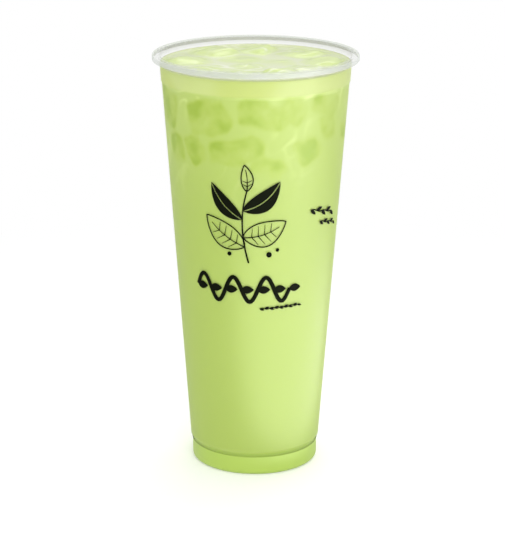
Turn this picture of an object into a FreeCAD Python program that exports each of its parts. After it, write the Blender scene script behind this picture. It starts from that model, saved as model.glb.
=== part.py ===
"""Tall sealing-rim cup of iced milk tea: an injection-moulded polypropylene cup and the drink that fills it.

The frame is in millimetres with +Z up. Its origin is the centre of the ring that the cup stands on.
Both pieces are solids of revolution about Z, drawn as half sections on the XZ plane.
"""

import FreeCAD, Part
import os
import Sketcher

# Driving dimensions: alias, value in millimetres, what it is.
SIZES = [
    ("cup_height", 185.0, "standing ring to the top of the rim"),
    ("rim_diameter", 90.0, "outside of the rim, the size that a sealing machine holds"),
    ("rim_overhang", 2.7, "how far the rim stands out from the wall, along a radius"),
    ("rim_drop", 2.4, "height of the rim's skirt, from the top of the rim"),
    ("rim_thickness", 0.8, "rim's flat top"),
    ("skirt_thickness", 0.7, "rim's outer skirt"),
    ("rim_round", 0.6, "rounding of the rim's outer top edge"),
    ("mouth_round", 0.25, "rounding of the mouth's inner edge and of the skirt's lower edges"),
    ("band_height", 11.1, "stacking band below the rim, down to its step"),
    ("band_draft", 0.68, "how much narrower the band's radius is at its foot"),
    ("band_step", 0.42, "step inwards below the band, along a radius"),
    ("band_step_rise", 1.5, "height that the band's step takes"),
    ("band_step_round", 1.2, "rounding of the band's lower outer edge"),
    ("foot_diameter", 56.2, "outside of the foot"),
    ("foot_height", 8.5, "straight foot, up to its step"),
    ("foot_step", 1.25, "step outwards above the foot, along a radius"),
    ("foot_step_rise", 2.8, "height that the foot's step takes"),
    ("foot_step_round", 5.0, "rounding of the wall's lower outer edge, above the step"),
    ("foot_corner", 1.95, "rounding from the foot to the standing ring"),
    ("wall", 0.6, "wall thickness, along a radius"),
    ("floor_thickness", 0.9, "thickness of the floor"),
    ("floor_recess", 2.2, "how far the floor's underside is raised above the standing ring"),
    ("recess_round", 1.0, "rounding inside the recess under the floor"),
    ("ring_width", 4.0, "from the foot's outside to the edge of the recess"),
    ("floor_corner", 1.4, "rounding between the floor and the wall, inside"),
    ("fill_gap", 4.4, "from the top of the rim down to the drink's level"),
]

FOOT = "(sizes.foot_diameter / 2)"
WALL_FOOT = f"({FOOT} + sizes.foot_step)"
WALL_FOOT_Z = "(sizes.foot_height + sizes.foot_step_rise)"
MOUTH = "(sizes.rim_diameter / 2 - sizes.rim_overhang)"
BAND_FOOT = f"({MOUTH} - sizes.band_draft)"
BAND_FOOT_Z = "(sizes.cup_height - sizes.band_height)"
WALL_TOP = f"({BAND_FOOT} - sizes.band_step)"
WALL_TOP_Z = f"({BAND_FOOT_Z} - sizes.band_step_rise)"
FLOOR_Z = "(sizes.floor_recess + sizes.floor_thickness)"
LEVEL_Z = "(sizes.cup_height - sizes.fill_gap)"
LEVEL = (
    f"({BAND_FOOT} - sizes.wall + sizes.band_draft * (sizes.band_height - sizes.fill_gap) / sizes.band_height)"
)

# Corners of the half sections, as (radius, height). None is zero: on the axis, or on the standing plane.
OUTER = {
    "base_centre": (None, None),
    "base_corner": (FOOT, None),
    "foot_top": (FOOT, "sizes.foot_height"),
    "wall_foot": (WALL_FOOT, WALL_FOOT_Z),
    "wall_top": (WALL_TOP, WALL_TOP_Z),
    "band_foot": (BAND_FOOT, BAND_FOOT_Z),
    "band_top": (MOUTH, "sizes.cup_height"),
    "top_centre": (None, "sizes.cup_height"),
}
INNER_WALL = {
    "floor_centre": (None, FLOOR_Z),
    "floor_edge": (f"{FOOT} - sizes.wall", FLOOR_Z),
    "inner_foot_top": (f"{FOOT} - sizes.wall", "sizes.foot_height"),
    "inner_wall_foot": (f"{WALL_FOOT} - sizes.wall", WALL_FOOT_Z),
    "inner_wall_top": (f"{WALL_TOP} - sizes.wall", WALL_TOP_Z),
    "inner_band_foot": (f"{BAND_FOOT} - sizes.wall", BAND_FOOT_Z),
}
CAVITY = INNER_WALL | {
    "mouth": (f"{MOUTH} - sizes.wall", "sizes.cup_height"),
    "mouth_centre": (None, "sizes.cup_height"),
}
DRINK = INNER_WALL | {
    "level_edge": (LEVEL, LEVEL_Z),
    "level_centre": (None, LEVEL_Z),
}
RIM = {
    "rim_inner_top": (f"{MOUTH} - sizes.wall / 2", "sizes.cup_height"),
    "rim_outer_top": ("sizes.rim_diameter / 2", "sizes.cup_height"),
    "skirt_outer": ("sizes.rim_diameter / 2", "sizes.cup_height - sizes.rim_drop"),
    "skirt_inner": (
        "sizes.rim_diameter / 2 - sizes.skirt_thickness",
        "sizes.cup_height - sizes.rim_drop",
    ),
    "rim_under_outer": (
        "sizes.rim_diameter / 2 - sizes.skirt_thickness",
        "sizes.cup_height - sizes.rim_thickness",
    ),
    "rim_under_inner": (f"{MOUTH} - sizes.wall / 2", "sizes.cup_height - sizes.rim_thickness"),
}
RECESS = {
    "recess_centre": (None, None),
    "recess_edge": (f"{FOOT} - sizes.ring_width", None),
    "recess_top": (f"{FOOT} - sizes.ring_width", "sizes.floor_recess"),
    "recess_top_centre": (None, "sizes.floor_recess"),
}

ORIGIN, HORIZONTAL_AXIS, VERTICAL_AXIS = -1, -1, -2
START, END = 1, 2
CLOSE = 1e-4  # millimetres, within which an edge is at a corner
ROUGH_SIZE = 30.0  # millimetres, of the rough polygon that a section starts as


def make_sheet(doc):
    """The spreadsheet that drives the model."""
    sheet = doc.addObject("Spreadsheet::Sheet", "sizes")
    for row, (alias, value, note) in enumerate(SIZES, start=1):
        sheet.set(f"A{row}", alias)
        sheet.set(f"B{row}", str(value))
        sheet.setAlias(f"B{row}", alias)
        sheet.set(f"C{row}", note)
    doc.recompute()


def make_body(doc, label):
    """A PartDesign body for one piece."""
    body = doc.addObject("PartDesign::Body", label)
    body.Label = label
    return body


def rough_point(index, count):
    """A place on a rough polygon. The constraints then move each corner to its own place."""
    step = FreeCAD.Vector(ROUGH_SIZE, 0, 0)
    turn = FreeCAD.Rotation(FreeCAD.Vector(0, 0, 1), 360.0 * index / count)
    return FreeCAD.Vector(2 * ROUGH_SIZE, 2 * ROUGH_SIZE, 0) + turn.multVec(step)


def place_corner(sketch, index, name, constraint, axis, formula):
    """Ties one coordinate of a corner to its formula, or to an axis where it is zero."""
    if formula is None:
        sketch.addConstraint(Sketcher.Constraint("PointOnObject", index, START, axis))
        return
    number = sketch.addConstraint(
        Sketcher.Constraint(constraint, ORIGIN, START, index, START, ROUGH_SIZE)
    )
    sketch.renameConstraint(number, name)
    sketch.setExpression(f"Constraints.{name}", formula)


def section(body, name, corners):
    """A closed half section on the body's XZ plane, one straight side after each corner."""
    sketch = body.newObject("Sketcher::SketchObject", name)
    plane = next(f for f in body.Origin.OriginFeatures if f.Role == "XZ_Plane")
    sketch.AttachmentSupport = [(plane, "")]
    sketch.MapMode = "FlatFace"
    count = len(corners)
    for index in range(count):
        side = Part.LineSegment(rough_point(index, count), rough_point(index + 1, count))
        sketch.addGeometry(side, False)
    for index in range(count):
        following = (index + 1) % count
        sketch.addConstraint(Sketcher.Constraint("Coincident", index, END, following, START))
    for index, (corner, (radius, height)) in enumerate(corners.items()):
        place_corner(sketch, index, f"{corner}_radius", "DistanceX", VERTICAL_AXIS, radius)
        place_corner(sketch, index, f"{corner}_height", "DistanceY", HORIZONTAL_AXIS, height)
    body.Document.recompute()
    return sketch


def turned(body, kind, name, corners):
    """A full turn of a section about Z: PartDesign::Revolution adds it, PartDesign::Groove cuts it."""
    sketch = section(body, f"{name}_section", corners)
    feature = body.newObject(kind, name)
    feature.Profile = sketch
    feature.ReferenceAxis = (sketch, ["V_Axis"])
    feature.Angle = 360.0
    sketch.Visibility = False
    body.Document.recompute()
    return sketch


def ring_edges(shape, sketch, corners, names):
    """The circular edges of a shape that the named corners of a section turn into."""
    order = list(corners)
    found = []
    for name in names:
        place = sketch.getPoint(order.index(name), START)
        matching = [
            f"Edge{number}"
            for number, edge in enumerate(shape.Edges, start=1)
            if isinstance(edge.Curve, Part.Circle)
            and abs(edge.Curve.Radius - place.x) < CLOSE
            and abs(edge.Curve.Center.z - place.y) < CLOSE
        ]
        if not matching:
            raise RuntimeError(f"no edge at {name}")
        found += matching
    return found


def rounded(body, name, size, sketch, corners, names):
    """A fillet of the given size, a cell of the sheet, along the named corners of a section."""
    base = body.Tip
    fillet = body.newObject("PartDesign::Fillet", name)
    fillet.Base = (base, ring_edges(base.Shape, sketch, corners, names))
    fillet.setExpression("Radius", f"sizes.{size}")
    body.Document.recompute()


def make_cup(doc):
    """Polypropylene cup: tapered wall, stacking band, hollow rim, stepped foot and raised floor."""
    body = make_body(doc, "cup")
    outer = turned(body, "PartDesign::Revolution", "cup_outside", OUTER)
    rounded(body, "foot_rounding", "foot_corner", outer, OUTER, ["base_corner"])
    rounded(body, "wall_foot_rounding", "foot_step_round", outer, OUTER, ["wall_foot"])
    rounded(body, "band_foot_rounding", "band_step_round", outer, OUTER, ["band_foot"])
    rim = turned(body, "PartDesign::Revolution", "rim", RIM)
    cavity = turned(body, "PartDesign::Groove", "cavity", CAVITY)
    recess = turned(body, "PartDesign::Groove", "recess", RECESS)
    rounded(body, "rim_rounding", "rim_round", rim, RIM, ["rim_outer_top"])
    rounded(body, "skirt_rounding", "mouth_round", rim, RIM, ["skirt_outer", "skirt_inner"])
    rounded(body, "mouth_rounding", "mouth_round", cavity, CAVITY, ["mouth"])
    rounded(body, "floor_rounding", "floor_corner", cavity, CAVITY, ["floor_edge"])
    rounded(body, "recess_rounding", "recess_round", recess, RECESS, ["recess_top"])
    return body


def make_drink(doc):
    """Milk tea: fills the cup's inside, from the floor to its level."""
    body = make_body(doc, "drink")
    drink = turned(body, "PartDesign::Revolution", "drink_fill", DRINK)
    rounded(body, "drink_floor_rounding", "floor_corner", drink, DRINK, ["floor_edge"])
    return body


def check(doc, bodies):
    """Stops if an object failed, or a piece isn't one valid closed solid."""
    for thing in doc.Objects:
        if "Invalid" in thing.State or "Error" in thing.State:
            raise RuntimeError(f"{thing.Label} failed: {thing.State}")
    for body in bodies:
        shape = body.Shape
        if shape.isNull() or not shape.isValid() or len(shape.Solids) != 1:
            raise RuntimeError(f"{body.Label} isn't one valid solid")


def main():
    doc = FreeCAD.newDocument("milk_tea_cup")
    make_sheet(doc)
    bodies = [make_cup(doc), make_drink(doc)]
    doc.recompute()
    check(doc, bodies)
    os.makedirs("parts", exist_ok=True)
    for body in bodies:
        body.Shape.exportStep(f"parts/{body.Label}.step")
        box = body.Shape.BoundBox
        print(
            f"{body.Label}: {body.Shape.Volume / 1000:.2f} ml, "
            f"{box.XLength:.2f} x {box.YLength:.2f} x {box.ZLength:.2f} mm"
        )


main()
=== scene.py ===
"""Iced milk tea in a clear takeaway cup: its finishes, its ice and its print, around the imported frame.

Everything is in metres, with +Z up and the cup's printed front towards -Y. Sizes and colours are
properties, each piece has an operator, and the panel in the 3D view's sidebar lists them.
"""

import math
import random
from functools import partial

import bpy
from bpy.props import FloatProperty, FloatVectorProperty, IntProperty, PointerProperty
from mathutils import Euler, Matrix, Vector


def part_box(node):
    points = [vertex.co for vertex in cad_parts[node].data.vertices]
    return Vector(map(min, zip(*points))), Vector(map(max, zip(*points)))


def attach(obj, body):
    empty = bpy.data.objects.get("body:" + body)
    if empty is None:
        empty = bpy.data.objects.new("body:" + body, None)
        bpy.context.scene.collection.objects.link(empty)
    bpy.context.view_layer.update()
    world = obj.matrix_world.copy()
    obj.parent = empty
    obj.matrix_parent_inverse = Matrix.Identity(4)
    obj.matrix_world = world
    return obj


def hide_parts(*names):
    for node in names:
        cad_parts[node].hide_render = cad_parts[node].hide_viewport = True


bl_info = {
    "name": "Cup of milk tea",
    "version": (1, 0, 0),
    "blender": (4, 5, 0),
    "location": "3D View > Sidebar > Milk tea",
    "description": "Builds an iced milk tea in its clear takeaway cup",
    "category": "Object",
}

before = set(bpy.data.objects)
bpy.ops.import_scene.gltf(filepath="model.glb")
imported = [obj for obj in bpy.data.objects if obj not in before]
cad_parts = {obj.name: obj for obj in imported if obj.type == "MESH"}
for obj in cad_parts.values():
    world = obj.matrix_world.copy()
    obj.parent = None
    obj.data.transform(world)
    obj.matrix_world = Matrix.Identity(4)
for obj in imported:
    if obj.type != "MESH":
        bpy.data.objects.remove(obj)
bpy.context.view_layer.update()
CUP_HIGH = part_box("cup")[1]
DRINK_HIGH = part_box("drink")[1]

MM = 0.001
BODY = "root"
LEVEL = DRINK_HIGH.z
LEVEL_RADIUS = DRINK_HIGH.x
ARC_STEP = math.radians(12)  # how far apart the points of a rounding lie
HOLD = 0.2 * MM  # how close to its arcs a flat side holds a point
TINY = 1e-6
WHITE = (1.0, 1.0, 1.0, 1.0)

# Attributes that the pieces carry for their materials, each from 0 to 1.
FILM = "film"  # milk tea between the ice and the eye: 1 where it hides the ice
WET = "wet"  # 1 on the open surface, 0 behind the wall
VEIL = "veil"  # how much the plastic hides what is behind it
EDGE_SHADE = "edge"  # 1 at the mouth's inner edge: painted shade, a darker grey green for the shade and refraction there, with the plastic's own tint along its thickness
BARE = "bare"  # 1 on the wall that stands above the drink
FOOT = "foot"  # 1 in the ring under the drink, which takes its colour from the drink

# How wide the blotches of each uneven pattern are.
MELT_HOLLOW = 9.091 * MM  # hollows that melting leaves in a cube's faces
ICE_CLOUD = 9.091 * MM  # clouds inside the ice
DRIFT = 11.765 * MM  # how the milk tea runs between the ice and the wall
MOTTLE = 8.333 * MM  # thick and thin places in the film over the ice
CREAM_CURL = 20.833 * MM  # curls that the lines of cream run along
CREAM_PATCH = 33.333 * MM  # places where cream gathers
FLOW_MARK = 18.182 * MM  # duller and brighter places that the mould leaves in the plastic
INK_BLOTCH = 2.381 * MM  # thick and thin ink, drawn coarse: a screen's 0.1 mm mesh is too fine to show


def linear(code):
    """The linear colour of an sRGB hex code."""
    parts = [int(code[i : i + 2], 16) / 255 for i in (0, 2, 4)]
    return [p / 12.92 if p <= 0.04045 else ((p + 0.055) / 1.055) ** 2.4 for p in parts] + [1.0]


def length(name, description, millimetres):
    """A size property, written in millimetres."""
    return FloatProperty(
        name=name, description=description, default=millimetres * MM, unit="LENGTH", precision=5
    )


def colour(name, description, code):
    """A colour property, written as an sRGB hex code."""
    return FloatVectorProperty(
        name=name, description=description, default=linear(code), size=4, subtype="COLOR"
    )


def share(name, description, value):
    """A property from 0 to 1."""
    return FloatProperty(
        name=name, description=description, default=value, min=0.0, max=1.0, subtype="FACTOR"
    )


def turn(name, description, degrees):
    """An angle property, written in degrees."""
    return FloatProperty(
        name=name, description=description, default=math.radians(degrees), unit="ROTATION"
    )


class CupSettings(bpy.types.PropertyGroup):
    rim_overhang: length("Rim overhang", "How far the rim stands out from the wall", 2.7)
    rim_drop: length("Rim drop", "Height of the rim's skirt", 2.4)
    rim_thickness: length("Rim thickness", "Thickness of the rim's flat top", 0.8)
    skirt_thickness: length("Skirt thickness", "Thickness of the rim's skirt", 0.7)
    rim_round: length("Rim rounding", "Rounding of the rim's outer top edge", 0.6)
    mouth_round: length("Mouth rounding", "Rounding of the mouth's and the skirt's edges", 0.25)
    band_height: length("Band height", "Stacking band, from the rim's top to its step", 11.1)
    band_draft: length("Band draft", "How much narrower the band is at its foot", 0.68)
    band_step: length("Band step", "Step inwards below the band", 0.42)
    band_step_rise: length("Band step rise", "Height that the band's step takes", 1.5)
    band_step_round: length("Band step rounding", "Rounding of the band's lower edge", 1.2)
    foot_diameter: length("Foot diameter", "Outside of the foot", 56.2)
    foot_height: length("Foot height", "Straight foot, up to its step", 8.5)
    foot_step: length("Foot step", "Step outwards above the foot", 1.25)
    foot_step_rise: length("Foot step rise", "Height that the foot's step takes", 2.8)
    foot_step_round: length("Foot step rounding", "Rounding of the wall's lower edge", 5.0)
    foot_corner: length("Foot corner", "Rounding from the foot to the standing ring", 1.95)
    wall: length("Wall", "Thickness of the wall", 0.6)
    floor_thickness: length("Floor", "Thickness of the floor", 0.9)
    floor_recess: length("Floor recess", "How far the floor's underside is raised", 2.2)
    recess_round: length("Recess rounding", "Rounding inside the recess under the floor", 1.0)
    ring_width: length("Ring width", "From the foot's outside to the recess", 4.0)
    floor_corner: length("Floor corner", "Rounding between the floor and the wall, inside", 1.4)
    around: IntProperty(name="Around", description="Faces round the cup", default=288, min=24)
    plastic: colour("Plastic", "Colour of the plastic's haze", "DCE3DA")
    plastic_bare: colour("Bare plastic", "Colour of the wall's haze above the drink", "B0AEA8")
    # Painted shade and refraction at the mouth's inner edge, with the plastic's own tint along its
    # thickness.
    plastic_edge_shade: colour("Plastic edge", "Colour of the plastic seen along its thickness", "A9B8A8")
    plastic_foot: colour("Plastic foot", "Colour that the drink lends to the ring under it", "BAD855")
    haze: share("Haze", "How much the wall veils what is behind it", 0.05)
    bare_haze: share("Bare haze", "The same above the drink, where both faces are in air", 0.27)
    foot_haze: share("Foot haze", "How much the foot veils what is behind it", 0.95)
    rim_haze: share("Rim haze", "How much the rim's skirt veils what is behind it", 0.48)
    lip_haze: share("Lip haze", "How much the rim's flat top veils what is behind it", 0.22)


class DrinkSettings(bpy.types.PropertyGroup):
    reach: length("Reach", "How far the drink reaches into the wall, so that no gap shows", 0.15)
    meniscus: length("Meniscus", "How far the drink climbs the wall", 0.9)
    meniscus_width: length("Meniscus width", "How fast the climb dies out", 1.3)
    film: length("Film", "Milk tea left on top of the ice", 0.35)
    swell: length("Swell", "Highest that the drink's skin follows the ice above its level", 2.9)
    clarity: length("Clarity", "Depth of milk tea that hides the ice behind it", 3.0)
    drift: length("Drift", "How unevenly the milk tea runs over the ice", 4.0)
    milk: colour("Milk tea", "Colour of the drink below the ice", "B3CB56")
    # Also painted onto the foot's step as painted light, to cancel the shade on its down-facing slope.
    milk_high_and_step_light: colour("Milk tea, top", "Colour of the lighter drink between the ice", "BFD568")
    milk_line: colour("Cream line", "Colour of the cream that gathers round the ice", "D3E583")
    milk_ice: colour("Ice in milk tea", "Colour where ice lies against the wall", "B2CA41")
    milk_ice_deep: colour("Ice in milk tea, deep", "The same where the ice is clearest", "A2BF29")
    cream: colour("Cream", "Colour of the drink close under its level", "CBDA74")
    cream_pale: colour("Cream, pale", "Colour of the cream where it gathers", "D2E08A")
    # Partly painted reflection: the drink's colour made paler and greyer for the sheen on the wet
    # surface.
    surface: colour("Surface", "Colour of the open surface between the ice", "D3DBB0")
    # Painted highlight: pale thin lines along the open surface's creases, standing in for the light they
    # catch.
    crease_highlight: colour("Crease_highlight", "Colour of the fine froth in the surface's creases", "EEF0DF")
    surface_ice: colour("Ice at the surface", "Colour where ice lies just under the surface", "CBDB90")


class IceSettings(bpy.types.PropertyGroup):
    edge: length("Edge", "Length of an ice cube's edge", 20.0)
    crisp: share("Crispness", "How sharp the melted edges still are", 0.35)
    melt: length("Melt", "How uneven melting has left the faces", 1.1)
    clearance: length("Clearance", "Least milk tea between the ice and the wall", 0.35)
    seed: IntProperty(name="Seed", description="Seed of the cubes' leans and sizes", default=7)
    ice: colour("Ice", "Colour of the wet ice", "C9D9A2")
    cloud: colour("Cloud", "Colour of the ice where it is clouded", "D8E4BE")


class PrintSettings(bpy.types.PropertyGroup):
    proud: length("Proud", "How far the ink stands out from the wall", 0.05)
    depth: length("Depth", "Thickness of the ink film, with what is bitten into the wall", 0.09)
    lean: share("Lean", "How far a vine's leaves turn away from its stem to lie in its bends", 1.0)
    ink: colour("Ink", "Colour of the ink", "080B02")
    thin_ink: colour("Thin ink", "Colour of the ink where it lies thinner", "12170A")


class StageSettings(bpy.types.PropertyGroup):
    distance: length("Distance", "From the camera to the cup's axis, along the floor", 912.6)
    height: length("Height", "Height of the camera above the floor", 358.6)
    pitch: turn("Pitch", "How far the camera looks down", 16.575)
    yaw: turn("Yaw", "How far the camera looks to the left of the axis", 0.0725)
    roll: turn("Roll", "How far the camera leans", 0.16)
    lens: FloatProperty(name="Lens", description="Focal length", default=142.2, unit="CAMERA")
    floor: colour("Floor", "Colour of the floor", "F4F4F2")


SETTINGS = {
    "milk_tea_cup": CupSettings,
    "milk_tea_drink": DrinkSettings,
    "milk_tea_ice": IceSettings,
    "milk_tea_print": PrintSettings,
    "milk_tea_stage": StageSettings,
}


# Nodes, meshes and pieces


def add_node(tree, kind, inputs=None, **settings):
    """Adds a node, with its settings and what feeds it.

    inputs gives each input, by name or number, a value, an output or a node. Of a node, the first
    output in use is linked.
    """
    node = tree.nodes.new(kind)
    for name, value in settings.items():
        setattr(node, name, value)
    for name, value in (inputs or {}).items():
        if isinstance(value, bpy.types.Node):
            value = next(output for output in value.outputs if output.enabled)
        if isinstance(value, bpy.types.NodeSocket):
            tree.links.new(value, node.inputs[name])
        else:
            node.inputs[name].default_value = value
    return node


def shape_tree(name, numbers, **others):
    """A geometry tree that takes a mesh, named numbers, other named inputs and a material.

    It comes with the function that adds its nodes, and with its inputs.
    """
    tree = bpy.data.node_groups.new(name, "GeometryNodeTree")
    for side in ("INPUT", "OUTPUT"):
        tree.interface.new_socket("Geometry", in_out=side, socket_type="NodeSocketGeometry")
    sockets = {**others, **dict.fromkeys(numbers, "Float"), "Material": "Material"}
    for label, kind in sockets.items():
        tree.interface.new_socket(label, in_out="INPUT", socket_type=f"NodeSocket{kind}")
    add = partial(add_node, tree)
    return tree, add, add("NodeGroupInput").outputs


def finish_tree(add, shape, material):
    """Ends a tree: real geometry, wearing its material."""
    real = add("GeometryNodeRealizeInstances", {"Geometry": shape})
    worn = add("GeometryNodeSetMaterial", {"Geometry": real, "Material": material})
    add("NodeGroupOutput", {0: worn})


def new_object(name, vertices, edges=(), faces=()):
    """A mesh object in the scene."""
    mesh = bpy.data.meshes.new(name)
    mesh.from_pydata([tuple(v) for v in vertices], list(edges), list(faces))
    mesh.update()
    thing = bpy.data.objects.new(name, mesh)
    bpy.context.scene.collection.objects.link(thing)
    return thing


def new_chain(name, points):
    """A mesh object of points joined one after another."""
    return new_object(name, points, [(i, i + 1) for i in range(len(points) - 1)])


def grow(thing, tree, values):
    """Puts a tree on an object, sets its named inputs and leaves the result as a plain mesh."""
    modifier = thing.modifiers.new(tree.name, "NODES")
    modifier.node_group = tree
    for item in tree.interface.items_tree:
        if item.in_out == "INPUT" and item.name in values:
            modifier[item.identifier] = values[item.name]
    graph = bpy.context.evaluated_depsgraph_get()
    mesh = bpy.data.meshes.new_from_object(
        thing.evaluated_get(graph), preserve_all_data_layers=True, depsgraph=graph
    )
    thing.modifiers.clear()
    rough = thing.data
    thing.data = mesh
    mesh.name = thing.name
    bpy.data.meshes.remove(rough)


def keep(piece, slot, *nodes):
    """Hands a finished piece to the frame."""
    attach(piece, BODY)
    if nodes:
        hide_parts(*nodes)


def new_material(name):
    """A material with an empty tree, and what adds its nodes."""
    material = bpy.data.materials.new(name)
    material.use_nodes = True
    material.node_tree.nodes.clear()
    return material, partial(add_node, material.node_tree)


# Half sections


def rounded(corners, longest):
    """A half section through corners (radius, height, rounding), with arcs at the corners.

    No side is longer than longest, and each flat side holds a point close to its arcs, so that
    smooth shading stays flat on it.
    """
    points = []
    for index, (radius, height, rounding) in enumerate(corners):
        corner = Vector((radius, height))
        if not rounding:
            points.append(corner)
            continue
        before = (Vector(corners[index - 1][:2]) - corner).normalized()
        after = (Vector(corners[index + 1][:2]) - corner).normalized()
        half = before.angle(after) / 2
        centre = corner + (before + after).normalized() * rounding / math.sin(half)
        start = corner + before * rounding / math.tan(half) - centre
        end = corner + after * rounding / math.tan(half) - centre
        sweep = start.angle_signed(end)
        steps = max(3, math.ceil(abs(sweep) / ARC_STEP))
        points += [
            centre + Matrix.Rotation(-sweep * i / steps, 2) @ start for i in range(steps + 1)
        ]
    fine = [points[0]]
    for start, end in zip(points, points[1:]):
        side = end - start
        if side.length > 4 * HOLD:
            flat = side.length - 2 * HOLD
            parts = max(1, math.ceil(flat / longest))
            stops = [HOLD + flat * i / parts for i in range(parts + 1)]
            fine += [start + side.normalized() * stop for stop in stops]
        fine.append(end)
    return fine


def outer_corners(cup):
    """Corners of the cup's outside, from the foot to the mouth, as (radius, height, rounding)."""
    foot = cup.foot_diameter / 2
    mouth = CUP_HIGH.x - cup.rim_overhang
    band_foot = mouth - cup.band_draft
    band_foot_z = CUP_HIGH.z - cup.band_height
    return {
        "base_corner": (foot, 0.0, cup.foot_corner),
        "foot_top": (foot, cup.foot_height, 0.0),
        "wall_foot": (foot + cup.foot_step, cup.foot_height + cup.foot_step_rise, cup.foot_step_round),
        "wall_top": (band_foot - cup.band_step, band_foot_z - cup.band_step_rise, 0.0),
        "band_foot": (band_foot, band_foot_z, cup.band_step_round),
        "mouth": (mouth, CUP_HIGH.z, 0.0),
    }


def inner_corners(cup, wall, floor):
    """Corners of the inside, wall away from the outside and with its floor at the given height."""
    outside = outer_corners(cup)
    inside = [(0.0, floor, 0.0), (outside["base_corner"][0] - wall, floor, cup.floor_corner)]
    for name in ("foot_top", "wall_foot", "wall_top", "band_foot"):
        radius, height, _ = outside[name]
        inside.append((radius - wall, height, 0.0))
    return inside


def cup_section(cup):
    """The cup's closed half section, from under the floor, up the outside and down the inside."""
    outside = outer_corners(cup)
    foot = outside["base_corner"][0]
    mouth = outside["mouth"][0]
    under_rim = CUP_HIGH.z - cup.rim_thickness
    skirt_foot = CUP_HIGH.z - cup.rim_drop
    skirt = CUP_HIGH.x - cup.skirt_thickness
    slope = cup.band_draft / cup.band_height
    section = [
        (0.0, cup.floor_recess, 0.0),
        (foot - cup.ring_width, cup.floor_recess, cup.recess_round),
        (foot - cup.ring_width, 0.0, 0.0),
        outside["base_corner"],
        outside["foot_top"],
        outside["wall_foot"],
        outside["wall_top"],
        outside["band_foot"],
        (mouth - slope * (CUP_HIGH.z - LEVEL), LEVEL, 0.0),
        (mouth - slope * cup.rim_thickness, under_rim, 0.0),
        (skirt, under_rim, 0.0),
        (skirt, skirt_foot, cup.mouth_round),
        (CUP_HIGH.x, skirt_foot, cup.mouth_round),
        (CUP_HIGH.x, CUP_HIGH.z, cup.rim_round),
        (mouth - cup.wall, CUP_HIGH.z, cup.mouth_round),
    ]
    for height in (CUP_HIGH.z - 2 * cup.mouth_round, LEVEL):
        section.append((mouth - slope * (CUP_HIGH.z - height) - cup.wall, height, 0.0))
    section += reversed(inner_corners(cup, cup.wall, cup.floor_recess + cup.floor_thickness))
    return section


def wall_slope(cup):
    """The straight wall's radius at its foot, that foot's height, and its slope."""
    outside = outer_corners(cup)
    low, high = outside["wall_foot"], outside["wall_top"]
    return low[0], low[1], (high[0] - low[0]) / (high[1] - low[1])


# Trees


# What tells a tree where the straight wall runs: its radius and height at its foot, and its slope.
WALL_INPUTS = ("Wall radius", "Wall height", "Slope")


def wall_radius(add, given, height):
    """The straight wall's radius at a height, worked out from a tree's own inputs."""
    up = add("ShaderNodeMath", {0: height, 1: given["Wall height"]}, operation="SUBTRACT")
    line = {0: up, 1: given["Slope"], 2: given["Wall radius"]}
    return add("ShaderNodeMath", line, operation="MULTIPLY_ADD")


def turned_tree():
    """Turns a half section, given as a chain of points in X and Z, about the Z axis."""
    tree, add, given = shape_tree("Turned piece", (), Around="Int")
    section = given["Geometry"]
    points = add("GeometryNodeAttributeDomainSize", {0: section}).outputs["Point Count"]
    columns = add("ShaderNodeMath", {0: given["Around"], 1: 1.0}, operation="ADD")
    grid = add(
        "GeometryNodeMeshGrid",
        {"Size X": 1.0, "Size Y": 1.0, "Vertices X": columns, "Vertices Y": points},
    )
    mapped = add(
        "GeometryNodeStoreNamedAttribute",
        {"Geometry": grid, "Name": "UVMap", "Value": grid.outputs["UV Map"]},
        data_type="FLOAT2",
        domain="CORNER",
    )
    # X of the grid is the share of a turn, and Y tells which point of the section stands there.
    here = add("GeometryNodeInputPosition")
    place = add("ShaderNodeSeparateXYZ", {0: here}).outputs
    round_share = add("ShaderNodeMath", {0: place["X"], 1: 0.5}, operation="ADD")
    angle = add("ShaderNodeMath", {0: round_share, 1: math.tau}, operation="MULTIPLY")
    along = add("ShaderNodeMath", {0: place["Y"], 1: 0.5}, operation="ADD")
    last = add("ShaderNodeMath", {0: points, 1: 1.0}, operation="SUBTRACT")
    stretched = add("ShaderNodeMath", {0: along, 1: last}, operation="MULTIPLY")
    row = add("ShaderNodeMath", {0: stretched}, operation="ROUND")
    sampled = add(
        "GeometryNodeSampleIndex",
        {"Geometry": section, "Value": here, "Index": row},
        data_type="FLOAT_VECTOR",
    )
    corner = add("ShaderNodeSeparateXYZ", {0: sampled}).outputs
    cosine = add("ShaderNodeMath", {0: angle}, operation="COSINE")
    sine = add("ShaderNodeMath", {0: angle}, operation="SINE")
    across = add("ShaderNodeMath", {0: corner["X"], 1: cosine}, operation="MULTIPLY")
    back = add("ShaderNodeMath", {0: corner["X"], 1: sine}, operation="MULTIPLY")
    turned = add("ShaderNodeCombineXYZ", {"X": across, "Y": back, "Z": corner["Z"]})
    placed = add("GeometryNodeSetPosition", {"Geometry": mapped, "Position": turned})
    closed = add("GeometryNodeMergeByDistance", {"Geometry": placed, "Distance": TINY})
    smooth = add("GeometryNodeSetShadeSmooth", {"Geometry": closed})
    finish_tree(add, smooth, given["Material"])
    return tree


def turned_object(name, corners, longest, around, material):
    """A piece turned from a half section."""
    piece = new_chain(name, [(p.x, 0.0, p.y) for p in rounded(corners, longest)])
    tree = bpy.data.node_groups.get("Turned piece") or turned_tree()
    grow(piece, tree, {"Around": around, "Material": material})
    return piece


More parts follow.
